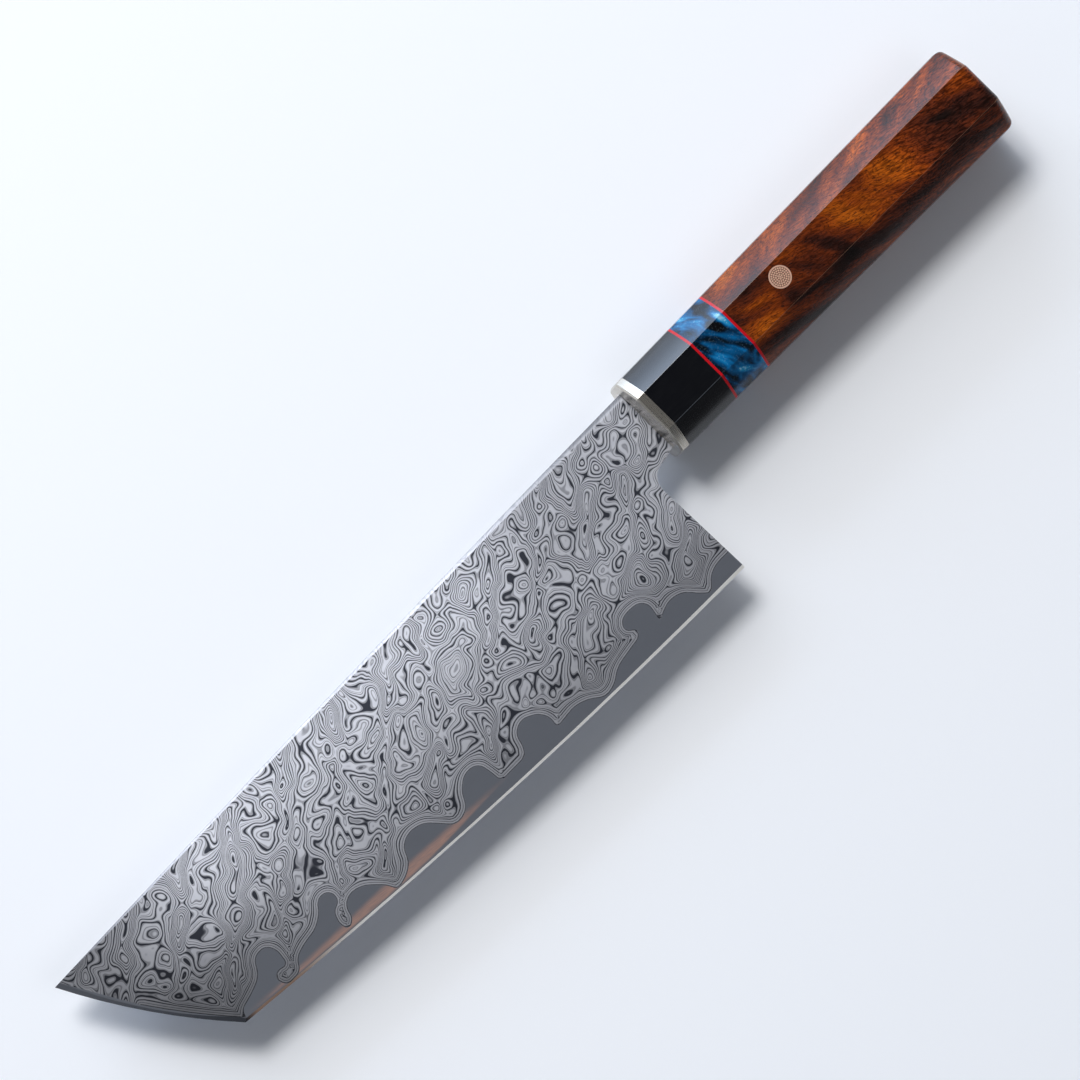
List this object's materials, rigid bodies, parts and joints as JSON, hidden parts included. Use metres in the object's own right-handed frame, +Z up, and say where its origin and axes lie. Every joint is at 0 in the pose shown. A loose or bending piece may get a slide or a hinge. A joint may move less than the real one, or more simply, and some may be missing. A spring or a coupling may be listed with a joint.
{
  "type": "kiritsuke knife",
  "caption": "Kitchen knife lying on its side: layered steel blade with an angled tip, a metal bolster and a tapered octagonal handle with a black ferrule, a blue resin ring and a wooden grip.",
  "frame": {"origin": "on the surface that the knife lies on, under the middle of its bounding box", "axes": "+X along the handle's axis from tip to butt, +Y from the cutting edge to the spine, +Z up through the side of the blade"},
  "size_m": [0.3288, 0.0572, 0.0237],
  "materials": {
    "core_steel": "plain bluish-grey satin steel with a bright sharpened bevel",
    "damascus_steel": "etched layered steel: fine light and dark contour lines, eyes and islands",
    "nickel_silver": "warm silver metal, polished",
    "black_ferrule": "solid black, high gloss",
    "red_liner": "vivid red fibre sheet, polished flush",
    "blue_resin": "pearlescent blue resin with dark and light swirls, high gloss",
    "grip_wood": "figured dark hardwood with amber streaks, fine pores, glossy oil finish",
    "dowel_wood": "plain light wood, bare",
    "epoxy": "clear amber glue",
    "pin_copper": "copper-coloured tube, polished flush",
    "pin_rod_metal": "pale coppery rods, polished flush",
    "pin_resin": "dark brown resin, polished flush"
  },
  "bodies": {
    "root": {"blade_core": "core_steel", "cladding_left": "damascus_steel", "cladding_right": "damascus_steel", "bolster": "nickel_silver", "ferrule": "black_ferrule", "liner_front": "red_liner", "resin_ring": "blue_resin", "liner_rear": "red_liner", "grip": "grip_wood", "handle_dowel": "dowel_wood", "tang_epoxy": "epoxy", "mosaic_pin_tube": "pin_copper", "mosaic_pin_rods": "pin_rod_metal", "mosaic_pin_filler": "pin_resin"}
  },
  "joints": []
}
